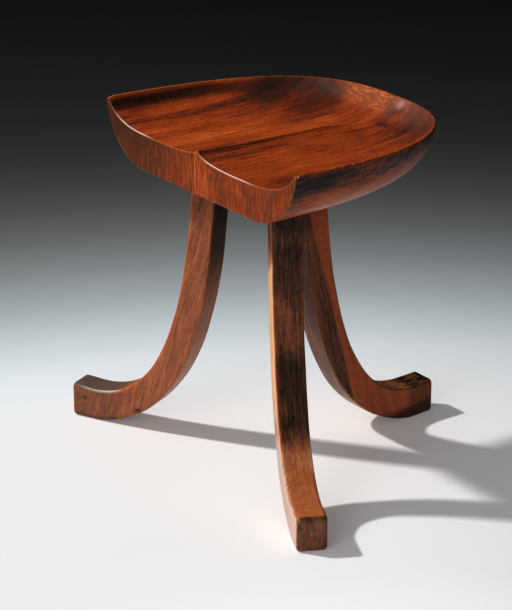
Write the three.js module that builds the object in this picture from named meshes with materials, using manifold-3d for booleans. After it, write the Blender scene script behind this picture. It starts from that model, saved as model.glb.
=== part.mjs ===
// A low three-legged stool: a dished seat of two boards glued edge to edge, on three swept legs.
// Millimetres, +Z up. The flat front edge of the seat faces -Y and its round back faces +Y.
// The origin is on the floor, in the middle of the space that the whole stool takes.
import * as THREE from 'three';
import { mergeVertices } from 'three/addons/utils/BufferGeometryUtils.js';
import Module from 'manifold-3d';

const wasm = await Module();
wasm.setup();

// Seat, as a whole
const SEAT_HEIGHT = 400; // floor to the top of the rim's front corners
const SEAT_WIDTH = 350.5;
const SEAT_DEPTH = 270.6; // flat front face to the middle of the round back
const SEAT_THICKNESS = 68.9; // front corners to the flat underside
const BACK_DIP = 4.5; // the rim's back lies this much below its front corners
const SIDE_ROUNDNESS = 2.69; // power of x in the outline: 2 is an ellipse, more is squarer
const BACK_ROUNDNESS = 2.78; // power of y in the outline
const BOWL_FRONT_TURN_IN = 67; // how far the side rounds inwards down to the flat underside
const BOWL_BACK_TURN_IN = 75;
const BOWL_LEAN = 5; // how much further it leans in
const RIM_ROUND = 1.6; // radius of the rim's top edge

// The hollow in the seat and the ridge along the middle
const DISH_FRONT_DEPTH = 29;
const DISH_BACK_DEPTH = 26.5;
const WALL_RUN = 20.5; // length in which the hollow's wall dies away into its floor
const RIDGE_FRONT_HEIGHT = 10.2; // over the hollow's floor, at the front face
const RIDGE_BACK_HEIGHT = 6; // what it would come down to at the back, were it not for its fade
const RIDGE_SPREAD = 17; // width in which the ridge dies away to each side
const RIDGE_FADE_START = 166; // from the front face
const RIDGE_FADE_END = 232;

// Legs, each drawn in its own upright plane with x = 0 under the middle of its tenon
const LEG_WIDTH = 33.3;
const LEG_THICKNESS = 35.3; // at the top, in the plane of the sweep
const LEG_REACH = 178.7; // middle of the tenon to the tip of the toe
const LEFT_LEG_REACH = 182.6; // the left leg sweeps out a little further
const TOE_HEIGHT = 39.7;
const TOE_ROUND = 3;
const SOLE_LENGTH = 34.4;
const ARRIS = 1.8; // rounding of the long edges
const OUTER_TOP_PULL = 363; // how strongly the outer side holds its start downwards
const OUTER_TOP_LEAN = 14.8; // and outwards
const OUTER_TOE_PULL = 9.1; // how strongly it holds its end along the foot
const OUTER_TOE_RISE = 9.9; // and upwards
const INNER_TOP_PULL = 24;
const INNER_TOP_LEAN = 13.4;
const INNER_SOLE_PULL = 170.9;
const INNER_SOLE_RISE = 20.2;

// Where the legs stand: their three planes meet on an upright line, the hub
const HUB_FROM_FRONT = 101.6; // from the seat's front face
const FRONT_LEG_OUT = 75.8; // hub to the middle of a front leg's tenon
const BACK_LEG_OUT = 43.4;
const RIGHT_LEG_ANGLE = 27.2; // degrees that the leg points forward of straight sideways
const LEFT_LEG_ANGLE = 25.5; // by hand and eye, so not quite the same

// Joinery inside
const FIT = 0.3; // clearance of every tenon, wedge and dowel
const JOINT_OFFSET = 4.2; // the boards meet this far to the left of the ridge
const GLUE_LINE = 0.3;
const MORTISE_DEPTH = 24;
const TENON_SHOULDER = 6; // step from the leg's faces to the tenon's
const WEDGE_LENGTH = 18;
const WEDGE_THICK_END = 3.2;
const WEDGE_THIN_END = 1.2;
const DOWEL_DIAMETER = 10;
const DOWEL_LENGTH = 60;
const DOWEL_CHAMFER = 1;
const FRONT_DOWEL_INSET = 30; // from the seat's front face
const BACK_DOWEL_INSET = 50; // from the rim at the back
const MIDDLE_DOWEL_OFFSET = 45; // in front of the back leg's tenon

// Fineness of the curved surfaces
const RIM_STEPS = 40;
const DISH_ROWS = 12;
const DISH_ROW_CROWDING = 1.4; // over 1 crowds the rows where the ridge meets the front face
const WALL_ROWS = 6;
const NOSE_ROWS = 4;
const BOWL_ROWS = 8;
const LEG_CURVE_STEPS = 16;
const ARRIS_STEPS = 2;
const DOWEL_SIDES = 20;

// Worked out from the sizes above
const halfWidth = SEAT_WIDTH / 2;
const frontY = -HUB_FROM_FRONT;
const backY = frontY + SEAT_DEPTH;
const underside = SEAT_HEIGHT - SEAT_THICKNESS;
const tenonWidth = LEG_WIDTH - 2 * TENON_SHOULDER;
const tenonThickness = LEG_THICKNESS - 2 * TENON_SHOULDER;
const tenonTop = underside + MORTISE_DEPTH - FIT;
const legPlaces = {
  front_left: { angle: 180 + LEFT_LEG_ANGLE, out: FRONT_LEG_OUT, reach: LEFT_LEG_REACH },
  front_right: { angle: -RIGHT_LEG_ANGLE, out: FRONT_LEG_OUT, reach: LEG_REACH },
  back: { angle: 90, out: BACK_LEG_OUT, reach: LEG_REACH },
};
const dowelPlaces = {
  front: frontY + FRONT_DOWEL_INSET,
  middle: BACK_LEG_OUT - MIDDLE_DOWEL_OFFSET,
  back: backY - BACK_DOWEL_INSET,
};
const jointX = -JOINT_OFFSET;
const dowelZ = underside + (SEAT_THICKNESS - DISH_FRONT_DEPTH) / 2;

// Wood, as colour and roughness
const mahogany = { color: 0x7a3216, roughness: 0.38 };
const darkMahogany = { color: 0x6a2a13, roughness: 0.38 };
const legWood = { color: 0x74401f, roughness: 0.45 };
const paleWood = { color: 0xb98a55, roughness: 0.7 };

function wood(finish) {
  return new THREE.MeshStandardMaterial({ ...finish, metalness: 0 });
}

function piece(name, geometry, finish) {
  const mesh = new THREE.Mesh(geometry, wood(finish));
  mesh.name = name;
  return mesh;
}

// A closed geometry as a solid that can be joined and cut.
function toSolid(geometry) {
  const bare = geometry.clone();
  bare.deleteAttribute('normal');
  bare.deleteAttribute('uv');
  const merged = mergeVertices(bare);
  const vertProperties = new Float32Array(merged.attributes.position.array);
  const triVerts = new Uint32Array(merged.index.array);
  return new wasm.Manifold(new wasm.Mesh({ numProp: 3, vertProperties, triVerts }));
}

function toGeometry(solid) {
  const mesh = solid.getMesh();
  const geometry = new THREE.BufferGeometry();
  geometry.setAttribute('position', new THREE.BufferAttribute(mesh.vertProperties, 3));
  geometry.setIndex(new THREE.BufferAttribute(mesh.triVerts, 1));
  return geometry;
}

// The right half of the rim in plan, from the front corner round to the middle of the back:
// a superellipse with its own power each way.
class RimCurve extends THREE.Curve {
  getPoint(share) {
    const turn = (share * Math.PI) / 2;
    const x = halfWidth * Math.cos(turn) ** (2 / SIDE_ROUNDNESS);
    const y = frontY + SEAT_DEPTH * Math.sin(turn) ** (2 / BACK_ROUNDNESS);
    return new THREE.Vector2(x, y);
  }
}

const rim = new RimCurve();
rim.arcLengthDivisions = 600;

// Evenly spaced stations on the rim, each with the direction that points straight into the seat.
// The first lies in the front face and the last on the middle line.
function rimStations() {
  const stations = [];
  for (let step = 0; step <= RIM_STEPS; step += 1) {
    const point = rim.getPointAt(step / RIM_STEPS);
    const along = rim.getTangentAt(step / RIM_STEPS);
    stations.push({ point, inward: new THREE.Vector2(-along.y, along.x) });
  }
  stations[0].inward.set(-1, 0);
  stations[RIM_STEPS].point.x = 0;
  stations[RIM_STEPS].inward.set(0, -1);
  return stations;
}

const stations = rimStations();
const rimLine = rim.getSpacedPoints(240);

function distanceToRim(x, y) {
  const spot = new THREE.Vector3(x, y, 0);
  const nearest = new THREE.Vector3();
  let least = Infinity;
  for (let i = 1; i < rimLine.length; i += 1) {
    const start = new THREE.Vector3(rimLine[i - 1].x, rimLine[i - 1].y, 0);
    const end = new THREE.Vector3(rimLine[i].x, rimLine[i].y, 0);
    new THREE.Line3(start, end).closestPointToPoint(spot, true, nearest);
    least = Math.min(least, nearest.distanceTo(spot));
  }
  return least;
}

function rimHeight(y) {
  const fromBack = (backY - y) / SEAT_DEPTH;
  return SEAT_HEIGHT - BACK_DIP * (1 - fromBack ** 2);
}

function fromFrontToBack(front, back, y) {
  return THREE.MathUtils.lerp(front, back, (y - frontY) / SEAT_DEPTH);
}

// The rim's rounded edge runs from the outer side over its top, and leaves off where it is as
// steep as the wall of the hollow.
const wallSlope = Math.atan(DISH_FRONT_DEPTH / WALL_RUN);
const noseWidth = RIM_ROUND * (1 + Math.sin(wallSlope));
const noseDrop = RIM_ROUND * (1 - Math.cos(wallSlope));

// Height of the seat's top at a place `inset` away from the rim: a wall that dies away into the
// floor, lifted by the ridge along x = 0.
function dishHeight(x, y, inset) {
  const along = y - frontY;
  const depth = fromFrontToBack(DISH_FRONT_DEPTH, DISH_BACK_DEPTH, y);
  const sunk = 1 - Math.exp(-(inset - noseWidth) / WALL_RUN);
  const rise = fromFrontToBack(RIDGE_FRONT_HEIGHT, RIDGE_BACK_HEIGHT, y);
  const fade = 1 - THREE.MathUtils.smoothstep(along, RIDGE_FADE_START, RIDGE_FADE_END);
  const ridge = rise * fade * Math.exp(-Math.abs(x) / RIDGE_SPREAD);
  return rimHeight(y) - noseDrop - sunk * (depth - noseDrop - ridge);
}

function insetPoint({ point, inward }, inset, z) {
  return new THREE.Vector3(point.x + inward.x * inset, point.y + inward.y * inset, z);
}

// The skin of half the seat is a run of rows, each row one point for every rim station. They
// start where the ridge meets the front face, spread out to the rim, go over it and down the
// rounded side, and draw together again underneath.
function dishRows() {
  const wallWidth = 2 * WALL_RUN;
  const edge = stations.map((station) => insetPoint(station, wallWidth, 0));
  const rows = [];
  for (let row = 0; row < DISH_ROWS; row += 1) {
    const share = (row / DISH_ROWS) ** DISH_ROW_CROWDING;
    rows.push(edge.map((point) => {
      const x = point.x * share;
      const y = frontY + (point.y - frontY) * share;
      return new THREE.Vector3(x, y, dishHeight(x, y, distanceToRim(x, y)));
    }));
  }
  for (let row = 0; row <= WALL_ROWS; row += 1) {
    const inset = noseWidth + (wallWidth - noseWidth) * (1 - row / WALL_ROWS) ** 1.5;
    rows.push(stations.map((station) => {
      const point = insetPoint(station, inset, 0);
      return point.setZ(dishHeight(point.x, point.y, inset));
    }));
  }
  return rows;
}

function noseRows() {
  const rows = [];
  for (let row = 1; row <= NOSE_ROWS; row += 1) {
    const turn = THREE.MathUtils.lerp(Math.PI / 2 - wallSlope, Math.PI, row / NOSE_ROWS);
    const inset = RIM_ROUND * (1 + Math.cos(turn));
    const drop = RIM_ROUND * (1 - Math.sin(turn));
    rows.push(stations.map((station) => (
      insetPoint(station, inset, rimHeight(station.point.y) - drop)
    )));
  }
  return rows;
}

function bowlRows() {
  const rows = [];
  for (let row = 1; row <= BOWL_ROWS; row += 1) {
    const turn = (row / BOWL_ROWS) * (Math.PI / 2);
    rows.push(stations.map((station) => {
      const top = rimHeight(station.point.y) - RIM_ROUND;
      const z = top - (top - underside) * Math.sin(turn);
      const reach = fromFrontToBack(BOWL_FRONT_TURN_IN, BOWL_BACK_TURN_IN, station.point.y);
      const inset = reach * (1 - Math.cos(turn)) + BOWL_LEAN * Math.sin(turn);
      return insetPoint(station, inset, z);
    }));
  }
  rows.push(stations.map(() => new THREE.Vector3(0, frontY, underside)));
  return rows;
}

// A flat end of the half: the rows' first or last points, seen along the third axis.
function flatEnd(rows, station, across) {
  const last = rows[0].length - 1;
  const column = station === 0 ? 0 : last;
  const outline = rows.map((row) => new THREE.Vector2(row[column][across], row[column].z));
  const faces = THREE.ShapeUtils.triangulateShape(outline, []);
  return faces.map((face) => face.map((row) => row * (last + 1) + column));
}

function turned(face) {
  return [face[0], face[2], face[1]];
}

// The half of the seat on the right of the middle line, as a closed skin.
function halfSeat() {
  const rows = [...dishRows(), ...noseRows(), ...bowlRows()];
  const perRow = RIM_STEPS + 1;
  const faces = [];
  for (let row = 1; row < rows.length; row += 1) {
    for (let step = 1; step < perRow; step += 1) {
      const here = row * perRow + step;
      const above = here - perRow;
      if (row > 1) {
        faces.push([above - 1, here, above]);
      }
      if (row < rows.length - 1) {
        faces.push([above - 1, here - 1, here]);
      }
    }
  }
  faces.push(...flatEnd(rows, 0, 'x'));
  faces.push(...flatEnd(rows, RIM_STEPS, 'y').map(turned));
  rows.forEach((row) => {
    row[0].y = frontY;
    row[RIM_STEPS].x = 0;
  });
  const geometry = new THREE.BufferGeometry().setFromPoints(rows.flat());
  geometry.setIndex(faces.flat());
  return geometry;
}

function mirroredInX(geometry) {
  const mirrored = geometry.clone();
  mirrored.scale(-1, 1, 1);
  const index = Array.from(mirrored.index.array);
  for (let corner = 0; corner < index.length; corner += 3) {
    [index[corner + 1], index[corner + 2]] = [index[corner + 2], index[corner + 1]];
  }
  mirrored.setIndex(index);
  return mirrored;
}

// A block centred on a leg's own upright line, from z = bottom to z = top.
function block(thickness, width, bottom, top) {
  const geometry = new THREE.BoxGeometry(thickness, width, top - bottom);
  return geometry.translate(0, 0, (bottom + top) / 2);
}

function legPlacement({ angle, out }) {
  const turn = THREE.MathUtils.degToRad(angle);
  const matrix = new THREE.Matrix4().makeRotationZ(turn);
  return matrix.setPosition(out * Math.cos(turn), out * Math.sin(turn), 0);
}

function mortise(place) {
  const hole = block(
    tenonThickness + 2 * FIT,
    tenonWidth + 2 * FIT,
    underside - TENON_SHOULDER,
    tenonTop + FIT,
  );
  return toSolid(hole.applyMatrix4(legPlacement(place)));
}

function dowelGeometry(radius, length, chamfer) {
  const half = length / 2;
  const outline = [
    new THREE.Vector2(0, -half),
    new THREE.Vector2(radius - chamfer, -half),
    new THREE.Vector2(radius, chamfer - half),
    new THREE.Vector2(radius, half - chamfer),
    new THREE.Vector2(radius - chamfer, half),
    new THREE.Vector2(0, half),
  ];
  return new THREE.LatheGeometry(outline, DOWEL_SIDES).rotateZ(Math.PI / 2);
}

function dowelHole(y) {
  const radius = DOWEL_DIAMETER / 2 + FIT;
  const hole = dowelGeometry(radius, DOWEL_LENGTH + 2 * FIT, DOWEL_CHAMFER);
  return toSolid(hole.translate(jointX, y, dowelZ));
}

// The seat is shaped in one, then parted along the joint: side is 1 for the right-hand board
// and -1 for the left-hand one.
function boardGeometry(side) {
  const half = halfSeat();
  let board = toSolid(half).add(toSolid(mirroredInX(half)));
  const offcut = new THREE.BoxGeometry(SEAT_WIDTH, 2 * SEAT_DEPTH, 2 * SEAT_HEIGHT);
  offcut.translate(jointX - (side * (SEAT_WIDTH - GLUE_LINE)) / 2, 0, 0);
  board = board.subtract(toSolid(offcut));
  Object.values(legPlaces).forEach((place) => {
    board = board.subtract(mortise(place));
  });
  Object.values(dowelPlaces).forEach((y) => {
    board = board.subtract(dowelHole(y));
  });
  return toGeometry(board);
}

// The leg's side view: down the outer side, over the toe, back along the sole and up inside.
function legShape(reach) {
  const half = LEG_THICKNESS / 2;
  const heel = reach - SOLE_LENGTH;
  const toe = reach - TOE_ROUND;
  const shape = new THREE.Shape();
  shape.moveTo(half, underside + TENON_SHOULDER);
  shape.lineTo(half, underside);
  shape.bezierCurveTo(
    half + OUTER_TOP_LEAN, underside - OUTER_TOP_PULL,
    reach - OUTER_TOE_PULL, TOE_HEIGHT + OUTER_TOE_RISE,
    toe, TOE_HEIGHT,
  );
  shape.quadraticCurveTo(reach, TOE_HEIGHT, reach, TOE_HEIGHT - TOE_ROUND);
  shape.lineTo(reach, TOE_ROUND);
  shape.quadraticCurveTo(reach, 0, toe, 0);
  shape.lineTo(heel, 0);
  shape.bezierCurveTo(
    heel - INNER_SOLE_PULL, INNER_SOLE_RISE,
    INNER_TOP_LEAN - half, underside - INNER_TOP_PULL,
    -half, underside,
  );
  shape.lineTo(-half, underside + TENON_SHOULDER);
  shape.closePath();
  return shape;
}

// The swept part of a leg, its long edges rounded, standing up in the plane of y = 0.
function legSweep(reach) {
  const geometry = new THREE.ExtrudeGeometry(legShape(reach), {
    depth: LEG_WIDTH - 2 * ARRIS,
    curveSegments: LEG_CURVE_STEPS,
    bevelThickness: ARRIS,
    bevelSize: ARRIS,
    bevelOffset: -ARRIS,
    bevelSegments: ARRIS_STEPS,
  });
  return geometry.translate(0, 0, ARRIS - LEG_WIDTH / 2).rotateX(Math.PI / 2);
}

// Side view of the wedge that spreads a tenon in its blind mortise, with room round it.
function wedgeGeometry(room, width) {
  const foot = tenonTop - WEDGE_LENGTH - room;
  const thick = WEDGE_THICK_END / 2 + room;
  const thin = WEDGE_THIN_END / 2 + room;
  const top = tenonTop + room;
  const shape = new THREE.Shape();
  shape.moveTo(-thin, foot);
  shape.lineTo(thin, foot);
  shape.lineTo(thick, top);
  shape.lineTo(-thick, top);
  shape.closePath();
  const geometry = new THREE.ExtrudeGeometry(shape, { depth: width, bevelEnabled: false });
  return geometry.translate(0, 0, -width / 2).rotateX(Math.PI / 2);
}

// A leg cut off square under the seat, with its tenon and the slot for the wedge.
function legGeometry(reach) {
  const shoulder = underside - FIT;
  const above = block(2 * LEG_THICKNESS, 2 * LEG_WIDTH, shoulder, SEAT_HEIGHT);
  const tenon = block(tenonThickness, tenonWidth, shoulder - TENON_SHOULDER, tenonTop);
  const slot = wedgeGeometry(FIT, LEG_WIDTH);
  const leg = toSolid(legSweep(reach)).subtract(toSolid(above)).add(toSolid(tenon));
  return toGeometry(leg.subtract(toSolid(slot)));
}

function legWithWedge(name, place) {
  const group = new THREE.Group();
  group.applyMatrix4(legPlacement(place));
  group.add(piece(`leg_${name}`, legGeometry(place.reach), legWood));
  group.add(piece(`tenon_wedge_${name}`, wedgeGeometry(0, tenonWidth), paleWood));
  return group;
}

function buildStool() {
  const stool = new THREE.Group();
  stool.add(piece('seat_board_left', boardGeometry(-1), darkMahogany));
  stool.add(piece('seat_board_right', boardGeometry(1), mahogany));
  Object.entries(legPlaces).forEach(([name, place]) => {
    stool.add(legWithWedge(name, place));
  });
  const dowel = dowelGeometry(DOWEL_DIAMETER / 2, DOWEL_LENGTH, DOWEL_CHAMFER);
  Object.entries(dowelPlaces).forEach(([name, y]) => {
    const pin = piece(`edge_dowel_${name}`, dowel, paleWood);
    pin.position.set(jointX, y, dowelZ);
    stool.add(pin);
  });
  return stool;
}

// Moves the stool so that the origin is under the middle of it.
function centred(stool) {
  const space = new THREE.Box3().setFromObject(stool, true);
  stool.position.set(
    -(space.min.x + space.max.x) / 2,
    -(space.min.y + space.max.y) / 2,
    -space.min.z,
  );
  const group = new THREE.Group();
  group.add(stool);
  return group;
}

export default centred(buildStool());
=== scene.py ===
"""Looks for the low three-legged stool: worn seat boards, swept legs and their waxed red-brown wood.

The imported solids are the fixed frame. Sizes are millimetres until a mesh is made, then metres.
Places in the wood recipes are millimetres too. A shade runs from 0, the darkest tone of the wood,
to 1, the palest, and the factor at the end of a term says how much it darkens or lightens.
"""
import math

import bpy
import numpy as np
from mathutils import Matrix, Vector
from mathutils.geometry import tessellate_polygon


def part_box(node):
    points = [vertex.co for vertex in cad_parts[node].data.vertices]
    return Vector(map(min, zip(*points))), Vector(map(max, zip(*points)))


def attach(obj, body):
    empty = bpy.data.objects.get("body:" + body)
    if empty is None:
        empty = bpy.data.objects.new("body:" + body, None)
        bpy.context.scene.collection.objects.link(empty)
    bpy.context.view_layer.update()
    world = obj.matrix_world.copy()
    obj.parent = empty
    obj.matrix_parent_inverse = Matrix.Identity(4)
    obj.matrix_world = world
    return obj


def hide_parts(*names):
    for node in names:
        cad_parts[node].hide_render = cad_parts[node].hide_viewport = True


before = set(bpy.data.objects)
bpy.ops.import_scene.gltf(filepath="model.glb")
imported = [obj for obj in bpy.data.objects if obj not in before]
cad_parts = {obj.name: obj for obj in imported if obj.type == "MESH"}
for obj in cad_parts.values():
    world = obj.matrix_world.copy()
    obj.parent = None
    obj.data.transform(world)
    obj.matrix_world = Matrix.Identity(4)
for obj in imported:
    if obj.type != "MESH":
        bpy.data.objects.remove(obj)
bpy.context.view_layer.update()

MM = 0.001
TINY = 1e-9
ROUNDED_TO = 3  # decimals of a millimetre within which points count as one

# The seat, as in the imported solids
SEAT_HEIGHT = 400.0
SEAT_HALF_WIDTH = 175.25
SEAT_DEPTH = 270.6
SEAT_THICKNESS = 68.9
BACK_DIP = 4.5
SIDE_ROUNDNESS = 2.69
BACK_ROUNDNESS = 2.78
BOWL_FRONT_TURN_IN = 67.0
BOWL_BACK_TURN_IN = 75.0
BOWL_LEAN = 5.0
RIM_ROUND = 1.6
DISH_FRONT_DEPTH = 29.0
DISH_BACK_DEPTH = 26.5
WALL_RUN = 20.5
RIDGE_FRONT_HEIGHT = 10.2
RIDGE_BACK_HEIGHT = 6.0
RIDGE_FADE_START = 166.0
RIDGE_FADE_END = 232.0
JOINT_X = -4.2

# What the solids leave out
CREST_SHARE = 0.2  # part of the ridge that is a narrow crest
CREST_RIGHT_GAIN = 0.08  # and how much more of it is crest on the right
CREST_RIGHT_RUN = 3.0
CREST_LEFT_SPREAD = 3.0
CREST_RIGHT_SPREAD = 1.9
FLANK_SPREAD = 22.0
CREST_SOFTNESS = 1.3
LEFT_SCOOP_LIFT = 1.4
RIGHT_SCOOP_DROP = 1.1
SCOOP_LEAN_RUN = 30.0
JOINT_GAP = 0.02
FRONT_ARRIS = 1.2
FRONT_WEAR_AND_GLINT_LINE = 0.5  # how far back the line of wear and painted highlight on the front edge lies, and its half width
DENT_X, DENT_Y = 24.0, 112.0  # a shallow dent in the back wall
DENT_RADIUS = 8.0
DENT_DEPTH = 1.0
TIP_WEAR = 1.8
TIP_WEAR_RUN = 6.0
RIM_NICKS = {  # place along the rim from the front corner, half width and depth of each chip
    1: [(76, 1.6, 1.3), (89, 1.2, 1.0), (3.5, 1.0, 1.3), (60, 0.9, 0.5), (142, 1.3, 0.5)],
    -1: [(21, 1.2, 0.6), (96, 1.6, 0.4), (180, 1.4, 0.5)]}

# Unevenness left by the maker's tools
HAND_WAVE = 0.1375
HAND_WAVES = [  # run across, run along, times the phase, share of the height
    (13.0, 37.0, 1, 1.0), (-29.0, 11.5, 2, 0.8), (7.1, -19.0, 3, 0.6), (17.0, 6.3, 1, 0.5)]
HOLLOW_PHASE, BOWL_PHASE = 0.4, 1.7
BOWL_WAVE_START = 40.0
BOWL_WAVE_ALONG, BOWL_WAVE_DOWN = 0.8, 1.2  # how the bowl's waves are drawn out
LEG_WAVES = [(17.0, 1, 0.16), (8.3, 2, 0.12)]  # run, times the phase, height
LEG_WAVE_LAG = 9  # sections by which the waves across the width come later
LEG_WAVE_WIDTH_SHARE = 0.7
FIRST_LEG_PHASE, LEG_PHASE_STEP = 1.0, 1.3

# The legs
LEG_WIDTH = 33.3
LEG_THICKNESS = 35.3
LEG_RUN = 420.0  # about how long a leg is along its curve
TOE_HEIGHT = 39.7
SOLE_LENGTH = 34.4
OUTER_TOP_PULL = 363.0
OUTER_TOP_LEAN = 14.8
OUTER_TOE_PULL = 9.1
OUTER_TOE_RISE = 9.9
INNER_TOP_PULL = 24.0
INNER_TOP_LEAN = 13.4
INNER_SOLE_PULL = 170.9
INNER_SOLE_RISE = 20.2
LEG_ARRIS = 1.7
TOE_ARRIS = 4.8
TOE_ARRIS_START = 0.93  # share of the length where the corners grow rounder
TOE_EDGE = 3.9
ARRIS_LIMIT = 0.98  # the most of a half side that a corner takes
TENON_SHOULDER = 6.0
SHOULDER_GAP = 0.05
MORTISE_DEPTH = 24.0
FIT = 0.3
WEDGE_LENGTH = 18.0
WEDGE_THICK_END = 3.2
WEDGE_THIN_END = 1.2
# how fast and how far the legs' mask of edge wear and painted glints reaches from an edge
EDGE_WEAR_AND_GLINT_RUN = 1.4
EDGE_WEAR_AND_GLINT_REACH = 9.0
SHARP_ANGLE = math.radians(50)
HUB_FROM_FRONT = 101.6
LEG_PLACES = {  # degrees round the hub, hub to tenon, tenon to toe
    "front_left": (205.5, 75.8, 182.6),
    "front_right": (-27.2, 75.8, 178.7),
    "back": (90.0, 43.4, 178.7)}

UNDERSIDE = SEAT_HEIGHT - SEAT_THICKNESS
FRONT_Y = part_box("seat_board_right")[0].y / MM
BACK_Y = FRONT_Y + SEAT_DEPTH
HUB_Y = FRONT_Y + HUB_FROM_FRONT
MIDDLE_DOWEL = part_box("edge_dowel_middle")
RIDGE_X = (MIDDLE_DOWEL[0].x + MIDDLE_DOWEL[1].x) / 2 / MM - JOINT_X


def smooth(low, high, value):
    """0 below low, 1 above high, and 3t^2 - 2t^3 between."""
    t = np.clip((value - low) / (high - low), 0, 1)
    return t * t * (3 - 2 * t)


def outwards(points, faces):
    """The faces turned round if they enclose a negative volume, so that they point outwards."""
    a, b, c = (points[faces[:, k]] for k in range(3))
    return faces if np.einsum("ij,ij->i", a, np.cross(b, c)).sum() > 0 else faces[:, ::-1]


def welded(points, triangles):
    """Points at the same place made one. Gives which points to keep, the new number of every old
    point, and the triangles without those that this leaves with no area."""
    rounded = np.round(points, ROUNDED_TO)
    _, keep, number = np.unique(rounded, axis=0, return_index=True, return_inverse=True)
    number = number.reshape(-1)
    triangles = number[triangles]
    a, b, c = triangles.T
    return keep, number, triangles[(a != b) & (b != c) & (c != a)]


def grid_triangles(rows, columns, wrap=False):
    """Two triangles for each cell of a grid of points numbered row by row."""
    last = columns if wrap else columns - 1
    r, c = np.meshgrid(np.arange(rows - 1), np.arange(last), indexing="ij")
    here = r * columns + c
    side = r * columns + (c + 1) % columns
    one = np.stack([here, side, side + columns], -1)
    two = np.stack([here, side + columns, here + columns], -1)
    return np.concatenate([one.reshape(-1, 3), two.reshape(-1, 3)])


def flat_fill(points, loop):
    """Triangles that fill a flat closed loop of points."""
    faces = np.array(tessellate_polygon([[Vector(p) for p in points[loop]]]))
    return np.asarray(loop)[faces]


def one_way(points, faces, others):
    """The faces turned round if they run along a shared edge the same way as the others do,
    since two faces that agree run along it in opposite ways."""
    def edges(f):
        return np.concatenate([f[:, [0, 1]], f[:, [1, 2]], f[:, [2, 0]]])

    size = len(points)
    ours, theirs = edges(faces), edges(others)
    numbered = theirs[:, 0] * size + theirs[:, 1]
    same = np.isin(ours[:, 0] * size + ours[:, 1], numbered).sum()
    against = np.isin(ours[:, 1] * size + ours[:, 0], numbered).sum()
    return faces[:, ::-1] if same > against else faces


def make_piece(name, points, triangles, layers, node, material):
    """A closed mesh object in metres, with its layers as attributes, riding on the frame. Its
    points come with the ridge at x = 0."""
    mesh = bpy.data.meshes.new(name)
    triangles = outwards(points, triangles)
    points = points + [RIDGE_X, 0, 0]
    points[:, 2] = np.maximum(points[:, 2], 0)
    mesh.from_pydata((points * MM).tolist(), [], triangles.tolist())
    for layer, values in layers.items():
        kind = "FLOAT" if values.ndim == 1 else "FLOAT_VECTOR"
        attribute = mesh.attributes.new(layer, kind, "POINT")
        field = "value" if values.ndim == 1 else "vector"
        attribute.data.foreach_set(field, values.astype(np.float32).ravel())
    mesh.shade_smooth()
    mesh.set_sharp_from_angle(angle=SHARP_ANGLE)
    mesh.materials.append(material)
    piece = bpy.data.objects.new(name, mesh)
    bpy.context.scene.collection.objects.link(piece)
    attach(piece, "root")
    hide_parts(node)
    return piece


# The seat boards

RIM_SAMPLES = 6001
RIM_SEARCH_POINTS = 500
RIM_PAST_MIDDLE = 12.0


def rim_curve():
    """The rim in plan, front corner to middle of the back and a little past it: a superellipse
    x = w cos^(2/p), y = d sin^(2/q), with its length along the way."""
    turn = np.linspace(0, math.pi / 2, RIM_SAMPLES)
    x = SEAT_HALF_WIDTH * np.cos(turn) ** (2 / SIDE_ROUNDNESS)
    y = FRONT_Y + SEAT_DEPTH * np.sin(turn) ** (2 / BACK_ROUNDNESS)
    x[-1] = 0
    past = x[::-1] < RIM_PAST_MIDDLE
    x = np.concatenate([x, -x[::-1][past][1:]])
    y = np.concatenate([y, y[::-1][past][1:]])
    length = np.concatenate([[0], np.cumsum(np.hypot(np.diff(x), np.diff(y)))])
    return x, y, length


RIM_X, RIM_Y, RIM_S = rim_curve()


def rim_distance(x, y):
    """Distance of each place from the nearest of many points along the rim, in plan."""
    stations = np.linspace(0, RIM_S[-1], RIM_SEARCH_POINTS)
    rim_x = np.interp(stations, RIM_S, RIM_X).astype(np.float32)
    rim_y = np.interp(stations, RIM_S, RIM_Y).astype(np.float32)
    across = np.abs(x).ravel()[:, None].astype(np.float32) - rim_x
    along = y.ravel()[:, None].astype(np.float32) - rim_y
    return np.sqrt((across ** 2 + along ** 2).min(1)).reshape(x.shape)


def rim_height(y):
    """The rim's top: full height at the front corners, dipping to the back with a square law."""
    from_back = (BACK_Y - y) / SEAT_DEPTH
    return SEAT_HEIGHT - BACK_DIP * (1 - from_back ** 2)


WALL_SLOPE = math.atan(DISH_FRONT_DEPTH / WALL_RUN)
NOSE_WIDTH = RIM_ROUND * (1 + math.sin(WALL_SLOPE))
NOSE_DROP = RIM_ROUND * (1 - math.cos(WALL_SLOPE))


def hand_wave(x, y, phase):
    """A slow unevenness: the sum of four sine waves across the surface."""
    waves = (high * np.sin(x / across + y / along + times * phase)
             for across, along, times, high in HAND_WAVES)
    return HAND_WAVE * sum(waves)


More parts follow.
